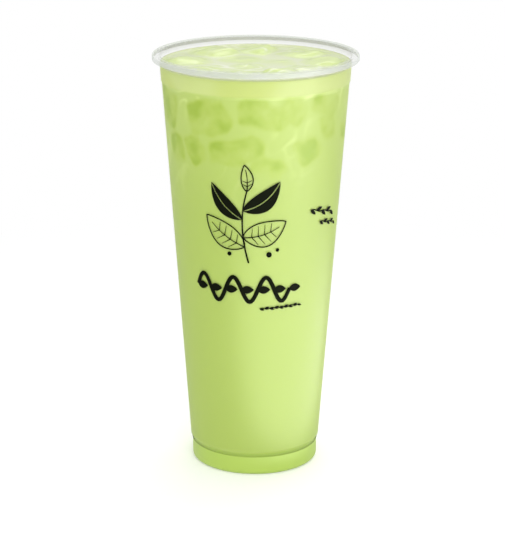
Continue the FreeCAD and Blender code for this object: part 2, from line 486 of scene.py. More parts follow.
def ice_tree():
    """Puts a half-melted ice cube at each point, turned and sized by the point's own attributes."""
    tree, add, given = shape_tree("Ice cubes", ("Edge", "Crispness", "Melt", *WALL_INPUTS))
    block = add("GeometryNodeMeshCube", {"Size": (1.0, 1.0, 1.0)})
    melted = add(
        "GeometryNodeSubdivisionSurface",
        {"Mesh": block, "Level": 4, "Edge Crease": given["Crispness"]},
    )
    turns = add("GeometryNodeInputNamedAttribute", {"Name": "turn"}, data_type="FLOAT_VECTOR")
    sides = add("GeometryNodeInputNamedAttribute", {"Name": "size"}, data_type="FLOAT_VECTOR")
    scale = add("ShaderNodeVectorMath", {0: sides, "Scale": given["Edge"]}, operation="SCALE")
    cubes = add(
        "GeometryNodeInstanceOnPoints",
        {
            "Points": given["Geometry"],
            "Instance": melted,
            "Rotation": add("FunctionNodeEulerToRotation", {0: turns}),
            "Scale": scale,
        },
    )
    real = add("GeometryNodeRealizeInstances", {"Geometry": cubes})
    # Melting leaves shallow hollows and bulges in the faces.
    hollows = add("ShaderNodeTexNoise", {"Scale": 1 / MELT_HOLLOW, "Detail": 1.0})
    depth = add("ShaderNodeMath", {0: hollows, 1: 0.5}, operation="SUBTRACT")
    most = add("ShaderNodeMath", {0: given["Melt"], 1: 2.0}, operation="MULTIPLY")
    bulge = add("ShaderNodeMath", {0: depth, 1: most}, operation="MULTIPLY")
    normal = add("GeometryNodeInputNormal")
    offset = add("ShaderNodeVectorMath", {0: normal, "Scale": bulge}, operation="SCALE")
    uneven = add("GeometryNodeSetPosition", {"Geometry": real, "Offset": offset})
    # Where a cube presses on the wall it has melted to the wall's own curve.
    axes = add("ShaderNodeSeparateXYZ", {0: add("GeometryNodeInputPosition")}).outputs
    flat = add("ShaderNodeCombineXYZ", {"X": axes["X"], "Y": axes["Y"]})
    radius = add("ShaderNodeVectorMath", {0: flat}, operation="LENGTH")
    room = wall_radius(add, given, axes["Z"])
    past = add("ShaderNodeMath", {0: radius, 1: room}, operation="SUBTRACT")
    excess = add("ShaderNodeMath", {0: past, 1: 0.0}, operation="MAXIMUM")
    back = add("ShaderNodeMath", {0: excess, 1: -1.0}, operation="MULTIPLY")
    outwards = add("ShaderNodeVectorMath", {0: flat}, operation="NORMALIZE")
    inwards = add("ShaderNodeVectorMath", {0: outwards, "Scale": back}, operation="SCALE")
    pressed = add("GeometryNodeSetPosition", {"Geometry": uneven, "Offset": inwards})
    smooth = add("GeometryNodeSetShadeSmooth", {"Geometry": pressed})
    finish_tree(add, smooth, given["Material"])
    return tree


def drink_tree():
    """Lays the drink's skin over the ice at its level, and stores how much drink hides the ice."""
    sizes = ("Level", "Wall radius", "Film", "Swell", "Meniscus", "Meniscus width", "Clarity", "Drift")
    tree, add, given = shape_tree("Drink over ice", sizes, Ice="Object")
    ice = add("GeometryNodeObjectInfo", {"Object": given["Ice"]}).outputs["Geometry"]
    place = add("GeometryNodeInputPosition")
    axes = add("ShaderNodeSeparateXYZ", {0: place}).outputs
    just_under = add("ShaderNodeMath", {0: given["Level"], 1: TINY}, operation="SUBTRACT")
    top = add("ShaderNodeMath", {0: axes["Z"], 1: just_under}, operation="GREATER_THAN")
    marked = add(
        "GeometryNodeStoreNamedAttribute",
        {"Geometry": given["Geometry"], "Name": WET, "Value": top},
    )
    # The skin follows the ice from above, up to the swell, and creeps up the wall.
    sight = 50 * MM
    lookout = add("ShaderNodeMath", {0: given["Level"], 1: sight}, operation="ADD")
    ray = add(
        "GeometryNodeRaycast",
        {
            "Target Geometry": ice,
            "Source Position": add(
                "ShaderNodeCombineXYZ", {"X": axes["X"], "Y": axes["Y"], "Z": lookout}
            ),
            "Ray Direction": (0.0, 0.0, -1.0),
            "Ray Length": 2 * sight,
        },
    ).outputs
    ice_top = add("ShaderNodeSeparateXYZ", {0: ray["Hit Position"]}).outputs["Z"]
    over_level = add("ShaderNodeMath", {0: ice_top, 1: given["Level"]}, operation="SUBTRACT")
    covered = add("ShaderNodeMath", {0: over_level, 1: given["Film"]}, operation="ADD")
    raised = add("ShaderNodeMath", {0: covered, 1: 0.0}, operation="MAXIMUM")
    held = add("ShaderNodeMath", {0: raised, 1: given["Swell"]}, operation="MINIMUM")
    lift = add("ShaderNodeMath", {0: held, 1: ray["Is Hit"]}, operation="MULTIPLY")
    soft = add("GeometryNodeBlurAttribute", {"Value": lift, "Iterations": 7})
    flat = add("ShaderNodeCombineXYZ", {"X": axes["X"], "Y": axes["Y"]})
    radius = add("ShaderNodeVectorMath", {0: flat}, operation="LENGTH")
    from_wall = add("ShaderNodeMath", {0: given["Wall radius"], 1: radius}, operation="SUBTRACT")
    decay = add("ShaderNodeMath", {0: from_wall, 1: given["Meniscus width"]}, operation="DIVIDE")
    inwards = add("ShaderNodeMath", {0: decay, 1: -1.0}, operation="MULTIPLY")
    left = add("ShaderNodeMath", {0: inwards}, operation="EXPONENT")
    climb = add("ShaderNodeMath", {0: given["Meniscus"], 1: left}, operation="MULTIPLY")
    highest = add("ShaderNodeMath", {0: soft, 1: climb}, operation="MAXIMUM")
    rise = add("ShaderNodeCombineXYZ", {"Z": highest})
    draped = add(
        "GeometryNodeSetPosition", {"Geometry": marked, "Selection": top, "Offset": rise}
    )
    # How far the ice lies behind the skin, looked up a little off so that patches run unevenly.
    drift = add("ShaderNodeTexNoise", {"Scale": 1 / DRIFT, "Detail": 1.5}).outputs["Color"]
    centred = add("ShaderNodeVectorMath", {0: drift, 1: (0.5, 0.5, 0.5)}, operation="SUBTRACT")
    strayed = add("ShaderNodeVectorMath", {0: centred, "Scale": given["Drift"]}, operation="SCALE")
    spot = add("ShaderNodeVectorMath", {0: place, 1: strayed}, operation="ADD")
    near = add(
        "GeometryNodeProximity", {0: ice, "Sample Position": spot}, target_element="FACES"
    ).outputs["Distance"]
    depth = add("ShaderNodeMath", {0: near, 1: given["Clarity"]}, operation="DIVIDE")
    hidden = add("ShaderNodeMath", {0: depth, 1: 1.0}, operation="MINIMUM")
    filmed = add(
        "GeometryNodeStoreNamedAttribute", {"Geometry": draped, "Name": FILM, "Value": hidden}
    )
    finish_tree(add, filmed, given["Material"])
    return tree


# The outline of every leaf: where it is widest, and how full it is.
LEAF_BELLY = 0.85
LEAF_FULLNESS = 0.8


def vine_tree():
    """Sets solid leaves on alternate sides of a line, given as a chain of points, with its stem."""
    sizes = ("Leaf length", "Leaf width", "Lean", "Stem")
    tree, add, given = shape_tree("Vine", sizes, Leaves="Int")
    # One leaf: a grid whose width follows a pointed oval.
    grid = add(
        "GeometryNodeMeshGrid",
        {"Size X": 1.0, "Size Y": 1.0, "Vertices X": 15, "Vertices Y": 5},
    )
    axes = add("ShaderNodeSeparateXYZ", {0: add("GeometryNodeInputPosition")}).outputs
    along = add("ShaderNodeMath", {0: axes["X"], 1: 0.5}, operation="ADD")
    eased = add("ShaderNodeMath", {0: along, 1: LEAF_BELLY}, operation="POWER")
    half_turn = add("ShaderNodeMath", {0: eased, 1: math.pi}, operation="MULTIPLY")
    swell = add("ShaderNodeMath", {0: half_turn}, operation="SINE")
    least = add("ShaderNodeMath", {0: swell, 1: 0.0}, operation="MAXIMUM")
    oval = add("ShaderNodeMath", {0: least, 1: LEAF_FULLNESS}, operation="POWER")
    across = add("ShaderNodeMath", {0: axes["Y"], 1: oval}, operation="MULTIPLY")
    side = add("ShaderNodeMath", {0: across, 1: given["Leaf width"]}, operation="MULTIPLY")
    reach = add("ShaderNodeMath", {0: along, 1: given["Leaf length"]}, operation="MULTIPLY")
    outline = add("ShaderNodeCombineXYZ", {"X": reach, "Y": side})
    leaf = add("GeometryNodeSetPosition", {"Geometry": grid, "Position": outline})
    # The leaves point along the line and lean to its left and right by turns.
    line = add("GeometryNodeMeshToCurve", {0: given["Geometry"]})
    spots = add("GeometryNodeCurveToPoints", {"Curve": line, "Count": given["Leaves"]}).outputs
    facing = add("FunctionNodeAlignRotationToVector", {"Vector": spots["Tangent"]}, axis="X")
    odd = add("ShaderNodeMath", {0: add("GeometryNodeInputIndex"), 1: 2.0}, operation="MODULO")
    turn_by = add("ShaderNodeMath", {0: odd, 1: 2.0, 2: -1.0}, operation="MULTIPLY_ADD")
    angle = add("ShaderNodeMath", {0: turn_by, 1: given["Lean"]}, operation="MULTIPLY")
    lean = add("FunctionNodeAxisAngleToRotation", {"Axis": (0.0, 0.0, 1.0), "Angle": angle})
    turned = add(
        "FunctionNodeRotateRotation",
        {"Rotation": facing, "Rotate By": lean},
        rotation_space="LOCAL",
    )
    leaves = add(
        "GeometryNodeInstanceOnPoints",
        {"Points": spots["Points"], "Instance": leaf, "Rotation": turned},
    )
    # The stem: a flat strip along the line.
    right = add("ShaderNodeMath", {0: given["Stem"], 1: 0.5}, operation="MULTIPLY")
    left = add("ShaderNodeMath", {0: right, 1: -1.0}, operation="MULTIPLY")
    start = add("ShaderNodeCombineXYZ", {"X": left})
    end = add("ShaderNodeCombineXYZ", {"X": right})
    width = add("GeometryNodeCurvePrimitiveLine", {"Start": start, "End": end})
    upright = add("GeometryNodeSetCurveNormal", {"Curve": line}, mode="Z_UP")
    strip = add("GeometryNodeCurveToMesh", {"Curve": upright, "Profile Curve": width})
    whole = add("GeometryNodeJoinGeometry")
    for part in (strip, leaves):
        tree.links.new(part.outputs[0], whole.inputs[0])
    finish_tree(add, whole, given["Material"])
    return tree


def wrap_tree():
    """Wraps flat art, drawn in X along the wall and Y up it, round the tapered wall as a film of ink."""
    sizes = (*WALL_INPUTS, "Art height", "Proud", "Depth")
    tree, add, given = shape_tree("Ink on the wall", sizes)
    axes = add("ShaderNodeSeparateXYZ", {0: add("GeometryNodeInputPosition")}).outputs
    middle = wall_radius(add, given, given["Art height"])
    angle = add("ShaderNodeMath", {0: axes["X"], 1: middle}, operation="DIVIDE")
    wall = wall_radius(add, given, axes["Y"])
    radius = add("ShaderNodeMath", {0: wall, 1: given["Proud"]}, operation="ADD")
    sine = add("ShaderNodeMath", {0: angle}, operation="SINE")
    cosine = add("ShaderNodeMath", {0: angle}, operation="COSINE")
    across = add("ShaderNodeMath", {0: radius, 1: sine}, operation="MULTIPLY")
    forward = add("ShaderNodeMath", {0: radius, 1: cosine}, operation="MULTIPLY")
    away = add("ShaderNodeMath", {0: forward, 1: -1.0}, operation="MULTIPLY")
    wrapped = add("ShaderNodeCombineXYZ", {"X": across, "Y": away, "Z": axes["Y"]})
    face = add(
        "GeometryNodeSetPosition", {"Geometry": given["Geometry"], "Position": wrapped}
    )
    inwards = add("ShaderNodeMath", {0: given["Depth"], 1: -1.0}, operation="MULTIPLY")
    sides = add(
        "GeometryNodeExtrudeMesh", {"Mesh": face, "Offset Scale": inwards, "Individual": False}
    )
    back = add("GeometryNodeFlipFaces", {"Mesh": sides})
    whole = add("GeometryNodeJoinGeometry")
    for part in (face, back):
        tree.links.new(part.outputs[0], whole.inputs[0])
    closed = add("GeometryNodeMergeByDistance", {"Geometry": whole, "Distance": TINY})
    finish_tree(add, closed, given["Material"])
    return tree


# Materials


def polypropylene(cup):
    """Clarified polypropylene, injection moulded: clear with a faint grey haze, and a soft gloss.

    Light runs along the wall, so the thick rim looks milky and the ring under the drink takes the
    drink's colour. The mouth's inner edge is painted a darker grey green, as painted shade and
    refraction there with the plastic's own tint along its thickness.
    """
    material, add = new_material("clear polypropylene, moulded")
    tint = cup.plastic
    # The mouth's edge tint is painted shade: a darker grey green for the shade and refraction at that
    # edge.
    for name, other in ((BARE, cup.plastic_bare), (EDGE_SHADE, cup.plastic_edge_shade), (FOOT, cup.plastic_foot)):
        part = add("ShaderNodeAttribute", attribute_name=name).outputs["Fac"]
        tint = add("ShaderNodeMix", {0: part, 6: tint, 7: other}, data_type="RGBA")
    place = add("ShaderNodeTexCoord").outputs["Object"]
    flow = add(
        "ShaderNodeTexNoise",
        {"Vector": place, "Scale": 1 / FLOW_MARK, "Detail": 1.5, "Distortion": 0.6},
    )
    polish = add("ShaderNodeMapRange", {"Value": flow, "To Min": 0.38, "To Max": 0.5})
    solid = add(
        "ShaderNodeBsdfPrincipled",
        {"Base Color": tint, "Roughness": polish, "IOR": 1.49, "Specular IOR Level": 1.0},
    )
    clear = add("ShaderNodeBsdfTransparent")
    veil = add("ShaderNodeAttribute", attribute_name=VEIL).outputs["Fac"]
    mixed = add("ShaderNodeMixShader", {0: veil, 1: clear, 2: solid})
    add("ShaderNodeOutputMaterial", {"Surface": mixed})
    return material


def milk_tea(cup, drink):
    """Green milk tea over ice: an opaque emulsion, paler where cream gathers between the ice.

    Ice against the wall shows as soft, darker patches. Behind the wall it has the wall's soft
    gloss, and its open surface is wet and sharp.
    """
    material, add = new_material("milk tea, liquid")
    film = add("ShaderNodeAttribute", attribute_name=FILM).outputs["Fac"]
    wet = add("ShaderNodeAttribute", attribute_name=WET).outputs["Fac"]
    place = add("ShaderNodeTexCoord").outputs["Object"]
    height = add("ShaderNodeSeparateXYZ", {0: place}).outputs["Z"]
    # Patterns, each with the width of its blotches, how fine it is and how far it curls.
    patterns = ((MOTTLE, 2.5, 0.0), (CREAM_CURL, 1.0, 1.2), (CREAM_PATCH, 0.0, 0.0))
    mottle, curls, patches = (
        add(
            "ShaderNodeTexNoise",
            {"Vector": place, "Scale": 1 / width, "Detail": fineness, "Distortion": curl},
        )
        for width, fineness, curl in patterns
    )
    over_mean = add("ShaderNodeMath", {0: mottle, 1: 0.5}, operation="SUBTRACT")
    mottled = add("ShaderNodeMath", {0: over_mean, 1: 0.9, 2: film}, operation="MULTIPLY_ADD")
    thick = add("ShaderNodeMath", {0: mottle, 1: film}, operation="ADD")
    off_middle = add("ShaderNodeMath", {0: curls, 1: 0.5}, operation="SUBTRACT")
    off_curl = add("ShaderNodeMath", {0: off_middle}, operation="ABSOLUTE")
    # What the colours follow: what each soft step reads, where it starts, where it is full and how
    # full it gets.
    soft_steps = (
        (height, LEVEL - 62 * MM, LEVEL - 8 * MM, 1.0),  # the drink grows paler upwards
        (height, cup.foot_height + 3.4 * MM, cup.foot_height + 2.2 * MM, 1.0),  # painted light: the foot's down-facing step is lightened to cancel its shade
        (height, LEVEL - 7.6 * MM, LEVEL - 6.0 * MM, 0.95),  # cream, close under the level
        (mottled, 0.0, 0.75, 1.0),  # the film hides the ice
        (thick, 0.42, 0.85, 1.0),  # ice shows less deep through a thicker film
        (off_curl, 0.06, 0.0, 1.0),  # a thin line runs along each curl
        (patches, 0.42, 0.62, 1.0),  # cream gathers
    )
    rise, painted_step_light, near_top, open_milk, hidden, line, here = (
        add(
            "ShaderNodeMapRange",
            {"Value": value, "From Min": start, "From Max": full, "To Max": most},
            interpolation_type="SMOOTHSTEP",
        )
        for value, start, full, most in soft_steps
    )
    # Behind the wall: ice, milk tea and the lines of cream between the cubes.
    vein = add("ShaderNodeMath", {0: line, 1: here}, operation="MULTIPLY")
    high_vein = add("ShaderNodeMath", {0: vein, 1: rise}, operation="MULTIPLY")
    streak = add("ShaderNodeMath", {0: high_vein, 1: open_milk}, operation="MULTIPLY")
    milk = add("ShaderNodeMix", {0: rise, 6: drink.milk, 7: drink.milk_high_and_step_light}, data_type="RGBA")
    streaked = add("ShaderNodeMix", {0: streak, 6: milk, 7: drink.milk_line}, data_type="RGBA")
    ice_colours = {0: hidden, 6: drink.milk_ice_deep, 7: drink.milk_ice}
    ice_tint = add("ShaderNodeMix", ice_colours, data_type="RGBA")
    iced = add("ShaderNodeMix", {0: open_milk, 6: ice_tint, 7: streaked}, data_type="RGBA")
    # Painted light: behind the foot's step the drink takes the lighter colour, cancelling the shade on
    # that down-facing slope.
    step_lit_milk = add("ShaderNodeMix", {0: painted_step_light, 6: iced, 7: drink.milk_high_and_step_light}, data_type="RGBA")
    cream = add("ShaderNodeMix", {0: here, 6: drink.cream, 7: drink.cream_pale}, data_type="RGBA")
    behind_wall = add("ShaderNodeMix", {0: near_top, 6: step_lit_milk, 7: cream}, data_type="RGBA")
    # The open surface, with painted highlights along its creases.
    # Painted reflection in part: the open surface's paler grey green stands in for its sheen.
    surface_colours = {0: film, 6: drink.surface_ice, 7: drink.surface}
    surface = add("ShaderNodeMix", surface_colours, data_type="RGBA")
    # Painted highlight: a pale thin line along the cream's curls lights the creases of the open surface.
    narrow = add("ShaderNodeMath", {0: vein, 1: 2.0}, operation="POWER")
    crease = add("ShaderNodeMath", {0: narrow, 1: 0.55}, operation="MULTIPLY")
    crease_lit = add("ShaderNodeMix", {0: crease, 6: surface, 7: drink.crease_highlight}, data_type="RGBA")
    base = add("ShaderNodeMix", {0: wet, 6: behind_wall, 7: crease_lit}, data_type="RGBA")
    body = add(
        "ShaderNodeBsdfPrincipled",
        {
            "Base Color": base,
            "Roughness": add("ShaderNodeMapRange", {"Value": wet, "To Min": 0.45, "To Max": 0.16}),
            "IOR": 1.45,
            "Subsurface Weight": 0.35,
            "Subsurface Radius": (1.0, 1.0, 0.5),
            "Subsurface Scale": 1.5 * MM,
        },
    )
    add("ShaderNodeOutputMaterial", {"Surface": body})
    return material


def wet_ice(ice):
    """Machine-made ice, half melted: smooth and wet, clouded by the milk tea that runs off it."""
    material, add = new_material("ice, wet")
    place = add("ShaderNodeTexCoord").outputs["Object"]
    cloud = add("ShaderNodeTexNoise", {"Vector": place, "Scale": 1 / ICE_CLOUD, "Detail": 2.0})
    body = add(
        "ShaderNodeBsdfPrincipled",
        {
            "Base Color": add("ShaderNodeMix", {0: cloud, 6: ice.ice, 7: ice.cloud}, data_type="RGBA"),
            "Roughness": 0.06,
            "IOR": 1.31,
            "Subsurface Weight": 0.6,
            "Subsurface Radius": (1.0, 1.0, 0.6),
            "Subsurface Scale": 3 * MM,
        },
    )
    add("ShaderNodeOutputMaterial", {"Surface": body})
    return material


def screen_ink(settings):
    """Screen-print ink, cured: an opaque black with a trace of green and a soft sheen."""
    material, add = new_material("screen-print ink, cured")
    place = add("ShaderNodeTexCoord").outputs["Object"]
    laid = add("ShaderNodeTexNoise", {"Vector": place, "Scale": 1 / INK_BLOTCH, "Detail": 2.0})
    tint = add("ShaderNodeMix", {0: laid, 6: settings.ink, 7: settings.thin_ink}, data_type="RGBA")
    sheen = add("ShaderNodeMapRange", {"Value": laid, "To Min": 0.5, "To Max": 0.7})
    body = add(
        "ShaderNodeBsdfPrincipled",
        {"Base Color": tint, "Roughness": sheen, "IOR": 1.48, "Specular IOR Level": 0.035},
    )
    add("ShaderNodeOutputMaterial", {"Surface": body})
    return material


# Pieces


STEP_SHARE = 0.9  # share of the foot's step that still takes the drink's colour
STEP_FADE = 0.55  # share of the foot's haze that is left where its step starts
WET_WALL = 1.0 * MM  # how far above its level the drink wets the wall
LIP_SIDE = 0.3 * MM  # how far inside the mouth's outer face its rounded edge begins


def cup_marks(cup, radius, height):
    """How much the plastic veils at a point, and how far it is bare, on edge or lit by the drink."""
    over_foot = (height - cup.foot_height + TINY) / cup.foot_step_rise
    if over_foot < STEP_SHARE:
        fade = 1.0 if over_foot <= 0 else STEP_FADE * (1.0 - over_foot)
        return cup.foot_haze * fade, 0.0, 0.0, 1.0
    inside = CUP_HIGH.x - cup.rim_overhang - LIP_SIDE
    on_skirt = radius > CUP_HIGH.x - 0.8 * cup.rim_round and height > LEVEL
    on_lip = radius > inside and height > CUP_HIGH.z - 0.8 * cup.rim_round
    # Painted shade: the mouth's inner edge takes the darker grey-green edge colour.
    at_mouth = radius < inside and height > CUP_HIGH.z - 1.5 * cup.mouth_round
    is_bare = height > LEVEL + WET_WALL and not (on_skirt or on_lip)
    veil = cup.bare_haze if is_bare else cup.haze
    if on_skirt:
        veil = cup.rim_haze
    elif on_lip or at_mouth:
        veil = cup.lip_haze
    return veil, float(is_bare), float(at_mouth), 0.0


def paint_cup(piece, cup):
    """Stores each point's marks as the attributes that the plastic reads."""
    names = (VEIL, BARE, EDGE_SHADE, FOOT)
    for name in names:
        piece.data.attributes.new(name, "FLOAT", "POINT")
    stores = [piece.data.attributes[name].data for name in names]
    for number, vertex in enumerate(piece.data.vertices):
        radius = math.hypot(vertex.co.x, vertex.co.y)
        for store, mark in zip(stores, cup_marks(cup, radius, vertex.co.z)):
            store[number].value = mark


class MILKTEA_OT_cup(bpy.types.Operator):
    """Build the clear cup with its rim, stacking band and stepped foot"""

    bl_idname = "milk_tea.cup"
    bl_label = "Build cup"

    def execute(self, context):
        cup = context.scene.milk_tea_cup
        section = cup_section(cup)
        piece = turned_object("clear_cup", section, 6 * MM, cup.around, polypropylene(cup))
        paint_cup(piece, cup)
        keep(piece, "cup_plastic", "cup")
        return {"FINISHED"}


# Ice that shows through the wall: azimuth from the front in degrees, depth of its centre below the
# level, how far its face presses past the wall, width, height and thickness in millimetres, and
# lean outwards, roll and turn in degrees.
SHOWN_ICE = [
    (-31, 15.6, 1.5, 19.5, 15.0, 19.0, 7, -17, -5),
    (4, 15.0, 1.8, 21.5, 12.0, 20.0, -9, 10, 14),
    (24, 11.6, 1.7, 12.5, 12.5, 17.0, 12, 40, 6),
    (-12, 29.2, 1.5, 23.0, 10.5, 19.0, 12, -9, -7),
    (-40, 31.0, 1.5, 8.5, 12.5, 15.0, 0, -27, -8),
    (-60, 32.5, 1.1, 9.5, 12.5, 16.0, 0, -16, 4),
    (35, 30.6, 0.0, 15.0, 14.5, 19.0, -6, -30, 8),
    (9, 37.0, -0.1, 15.5, 10.0, 16.0, 8, 22, 0),
    (48, 11.4, 0.7, 16.5, 8.0, 17.0, 0, 20, 4),
    (51, 21.5, 0.2, 10.0, 13.5, 16.0, 0, -20, 6),
    (-68, 15.5, 1.0, 16.0, 17.0, 18.0, 0, 10, 0),
    (78, 24.0, -0.3, 16.0, 15.0, 19.0, 4, 14, 8),
]
# Rings of cubes that fill the rest: depth below the level, distance from the axis, edge, cubes in
# the ring, and its first and last azimuth.
ICE_RINGS = [
    (8.3, 26.0, 18.0, 4, -52, 62),
    (7.9, 29.8, 19.0, 5, 94, 262),
    (8.6, 9.5, 17.5, 3, -20, 220),
    (30.0, 29.8, 19.5, 5, 108, 262),
    (30.0, 8.0, 19.0, 2, 60, 240),
    (48.0, 18.0, 17.0, 3, 60, 300),
]
USUAL_EDGE = 20.0  # the cube's edge, in millimetres, that the sizes above are drawn for


def ice_places(cup, ice):
    """Where the cubes lie: place, turn and size of each, in scene units."""
    draw = random.Random(ice.seed)
    radius, foot, slope = wall_slope(cup)
    cubes = []
    for azimuth, below, press, wide, high, thick, *lean in SHOWN_ICE:
        inside = (radius - cup.wall + (LEVEL - below * MM - foot) * slope) / MM
        cubes.append((azimuth, below, inside + press - thick / 2, (wide, thick, high), lean))
    for below, outwards, edge, count, first, last in ICE_RINGS:
        for number in range(count):
            azimuth = first + (last - first) * number / (count - 1) + draw.uniform(-5, 5)
            lean = [draw.uniform(-9, 9), draw.uniform(-9, 9), draw.uniform(-20, 20)]
            size = [edge * draw.uniform(0.92, 1.04) for _ in range(3)]
            cubes.append((azimuth, below + draw.uniform(-0.8, 0.8), outwards, size, lean))
    places = []
    for azimuth, below, outwards, size, lean in cubes:
        around = Matrix.Rotation(math.radians(azimuth), 3, "Z")
        place = around @ Vector((0.0, -outwards * MM, 0.0)) + Vector((0.0, 0.0, LEVEL - below * MM))
        turn_to = Euler([math.radians(angle) for angle in lean]).to_matrix()
        places.append((place, (around @ turn_to).to_euler(), Vector(size) / USUAL_EDGE))
    return places


class MILKTEA_OT_ice(bpy.types.Operator):
    """Float half-melted ice cubes in the top of the drink"""

    bl_idname = "milk_tea.ice"
    bl_label = "Build ice"

    def execute(self, context):
        cup = context.scene.milk_tea_cup
        ice = context.scene.milk_tea_ice
        places, turns, sizes = zip(*ice_places(cup, ice))
        piece = new_object("ice_cubes", places)
        for name, entries in (("turn", turns), ("size", sizes)):
            attribute = piece.data.attributes.new(name, "FLOAT_VECTOR", "POINT")
            for number, entry in enumerate(entries):
                attribute.data[number].vector = entry
        radius, height, slope = wall_slope(cup)
        values = {
            "Edge": ice.edge,
            "Crispness": ice.crisp,
            "Melt": ice.melt,
            "Wall radius": radius - cup.wall - ice.clearance,
            "Wall height": height,
            "Slope": slope,
            "Material": wet_ice(ice),
        }
        grow(piece, ice_tree(), values)
        keep(piece, "ice")
        return {"FINISHED"}


class MILKTEA_OT_drink(bpy.types.Operator):
    """Fill the cup with milk tea, up to its level and over the ice"""

    bl_idname = "milk_tea.drink"
    bl_label = "Build drink"

    def execute(self, context):
        cup = context.scene.milk_tea_cup
        drink = context.scene.milk_tea_drink
        if "ice_cubes" not in bpy.data.objects:
            raise RuntimeError("build the ice before the drink")
        floor = cup.floor_recess + cup.floor_thickness - drink.reach
        section = inner_corners(cup, cup.wall - drink.reach, floor)
        radius = LEVEL_RADIUS + drink.reach
        section += [(radius, LEVEL, 0.0), (0.0, LEVEL, 0.0)]
        material = milk_tea(cup, drink)
        piece = turned_object("milk_tea", section, 0.7 * MM, cup.around, material)
        values = {
            "Ice": bpy.data.objects["ice_cubes"],
            "Level": LEVEL,
            "Wall radius": radius,
            "Film": drink.film,
            "Swell": drink.swell,
            "Meniscus": drink.meniscus,
            "Meniscus width": drink.meniscus_width,
            "Clarity": drink.clarity,
            "Drift": drink.drift,
            "Material": material,
        }
        grow(piece, drink_tree(), values)
        keep(piece, "milk_tea", "drink")
        return {"FINISHED"}


# The print: flat outlines in millimetres, X along the wall from its front and Y up from the floor


def leaf_sides(base, tip, width, bend, steps=16):
    """Left, middle and right lines of a leaf from base to tip, bent sideways by a share of its length."""
    base, tip = Vector(base), Vector(tip)
    along = tip - base
    across = Vector((-along.y, along.x)).normalized()
    left, middle, right = [], [], []
    for step in range(steps + 1):
        t = step / steps
        spine = base + along * t + across * (bend * along.length * 4 * t * (1 - t))
        half = width / 2 * math.sin(math.pi * t**LEAF_BELLY) ** LEAF_FULLNESS
        left.append(spine + across * half)
        middle.append(spine)
        right.append(spine - across * half)
    return left, middle, right


class Art:
    """Flat faces gathered from strokes, leaves and dots."""

    def __init__(self):
        self.points = []
        self.faces = []

    def ribbon(self, left, right, columns):
        """Fills the space between two lines of as many points."""
        first = len(self.points)
        for a, b in zip(left, right):
            self.points += [Vector(a).lerp(Vector(b), i / columns) for i in range(columns + 1)]
        width = columns + 1
        for row in range(len(left) - 1):
            for column in range(columns):
                at = first + row * width + column
                self.faces.append((at, at + 1, at + width + 1, at + width))

    def stroke(self, line, width, taper=0.0):
        """A line of the given width, thinner towards its end by the share taper, with round ends."""
        line = [Vector(p) for p in line]
        left, right = [], []
        count = len(line) - 1
        for index, point in enumerate(line):
            ahead = line[min(index + 1, count)] - line[max(index - 1, 0)]
            across = Vector((-ahead.y, ahead.x)).normalized()
            half = width / 2 * (1 - taper * index / count)
            left.append(point + across * half)
            right.append(point - across * half)
        self.ribbon(left, right, 1)
        self.dot(line[0], width / 2)
        self.dot(line[-1], width / 2 * (1 - taper))

    def dot(self, centre, radius):
        """A filled disc."""
        sides = 20
        first = len(self.points)
        centre = Vector(centre)
        self.points.append(centre)
        for index in range(sides):
            angle = math.tau * index / sides
            self.points.append(centre + Vector((math.cos(angle), math.sin(angle))) * radius)
        for index in range(sides):
            self.faces.append((first, first + 1 + index, first + 1 + (index + 1) % sides))

    def solid_leaf(self, base, tip, width, bend, slit):
        """A filled leaf, with a bare slit along its middle."""
        left, middle, right = leaf_sides(base, tip, width, bend)
        for side in (left, right):
            inner = []
            for edge, spine in zip(side, middle):
                away = edge - spine
                gap = min(slit / 2, away.length * 0.6)
                inner.append(spine + (away.normalized() * gap if away.length > 0.01 else away))
            edges = (side, inner) if side is left else (inner, side)
            self.ribbon(*edges, 2)

    def drawn_leaf(self, base, tip, width, bend, line=0.5, veins=4):
        """A leaf in outline, with its middle and side veins."""
        left, middle, right = leaf_sides(base, tip, width, bend, 28)
        self.stroke(left, line)
        self.stroke(right, line)
        self.stroke(middle[:-5], line * 0.9, 0.4)
        for number in range(veins):
            at = 5 + number * 4
            for side in (left, right):
                end = middle[at].lerp(side[at + 3], 0.78)
                self.stroke([middle[at].lerp(end, i / 4) for i in range(5)], line * 0.75, 0.5)


def curve_through(start, handle, end, steps=24):
    """Points of a quadratic curve."""
    start, handle, end = Vector(start), Vector(handle), Vector(end)
    return [
        start.lerp(handle, i / steps).lerp(handle.lerp(end, i / steps), i / steps)
        for i in range(steps + 1)
    ]


def sprig_art():
    """A tea sprig: two drawn leaves, two solid ones and a bud on a bent stem."""
    art = Art()
    stem = curve_through((-3.0, 101.0), (-8.0, 118.0), (-3.5, 133.0))
    art.stroke(stem, 0.75, 0.25)
    art.drawn_leaf(stem[5], (-22.0, 121.0), 10.5, 0.07)
    art.drawn_leaf(stem[8], (13.5, 119.0), 11.0, -0.09)
    art.solid_leaf(stem[14], (-19.0, 136.0), 7.0, 0.10, 0.5)
    art.solid_leaf(stem[17], (10.5, 137.0), 8.5, -0.12, 0.55)
    art.drawn_leaf(stem[-1], (-4.5, 144.5), 5.0, -0.05, 0.5, 2)
    art.dot((6.2, 104.4), 1.25)
    art.dot((10.0, 106.4), 0.8)
    art.dot((-11.6, 104.6), 0.95)
    return art


def wave(start, end, swing, waves, steps=72):
    """Points of a wavy line between two points."""
    start, end = Vector(start), Vector(end)
    across = Vector((start.y - end.y, end.x - start.x)).normalized()
    return [
        start.lerp(end, i / steps) + across * swing * math.sin(math.tau * waves * i / steps)
        for i in range(steps + 1)
    ]


